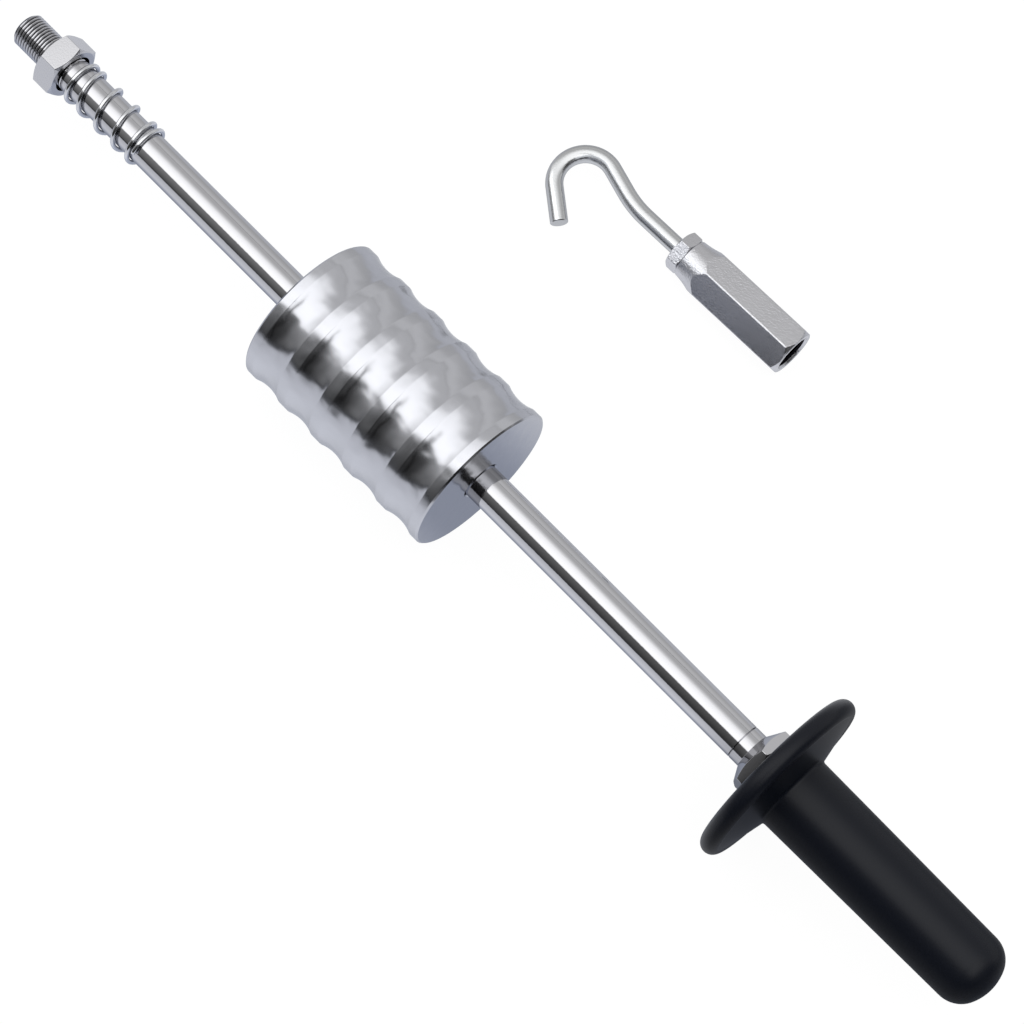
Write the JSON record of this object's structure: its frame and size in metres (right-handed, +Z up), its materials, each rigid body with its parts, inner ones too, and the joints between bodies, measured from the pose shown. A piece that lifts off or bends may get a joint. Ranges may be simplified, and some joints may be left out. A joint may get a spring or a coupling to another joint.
{
  "type": "slide hammer puller",
  "caption": "Slide hammer with a rubber-gripped handle and guard, a heavy grooved weight sliding on a chromed shaft, a buffer spring, and a screw-on adaptor with a hook.",
  "frame": {"origin": "on the shaft's axis, behind the chamfer at the tip, where the full thread begins", "axes": "+X along the shaft and out of its threaded tip, the handle towards -X; +Z up from the bench; the hook set lies on the -Y side"},
  "size_m": [0.5646, 0.2115, 0.082],
  "materials": {
    "chrome": "polished chrome plate",
    "zinc": "bright zinc plate, satin on the machined flats",
    "spring_steel": "bright spring wire",
    "tube_steel": "plain drawn tube, hidden in the grip",
    "rubber": "matt black moulded rubber"
  },
  "bodies": {
    "tool": {"shaft": "chrome", "stop_nut": "chrome", "handle_tube": "tube_steel", "grip": "rubber"},
    "lock_nut": {"lock_nut": "zinc"},
    "spring": {"spring": "spring_steel"},
    "weight": {"slide_weight": "chrome"},
    "adaptor": {"adaptor": "zinc"},
    "hook": {"hook_rod": "zinc"},
    "jam_nut": {"jam_nut": "zinc"}
  },
  "joints": [
    {"name": "weight_slide", "type": "slide", "parent": "tool", "child": "weight", "axis": [1, 0, 0], "range_m": [-0.1553, 0.0992]},
    {"name": "spring_slide", "type": "slide", "parent": "tool", "child": "spring", "axis": [1, 0, 0], "range_m": [0, 0.00385]},
    {"name": "lock_nut_turn", "type": "hinge", "parent": "tool", "child": "lock_nut", "pos_m": [-0.0233, 0, 0], "axis": [1, 0, 0], "continuous": true},
    {"name": "hook_set_lift", "type": "slide", "parent": "tool", "child": "adaptor", "axis": [0, 0, 1], "range_m": [0, 0.15]},
    {"name": "hook_turn", "type": "hinge", "parent": "adaptor", "child": "hook", "pos_m": [-0.2534, -0.1563, -0.02603], "axis": [0.9995, 0.0244, 0.0203], "continuous": true},
    {"name": "jam_nut_turn", "type": "hinge", "parent": "hook", "child": "jam_nut", "pos_m": [-0.2503, -0.15622, -0.02597], "axis": [0.9995, 0.0244, 0.0203], "continuous": true}
  ]
}
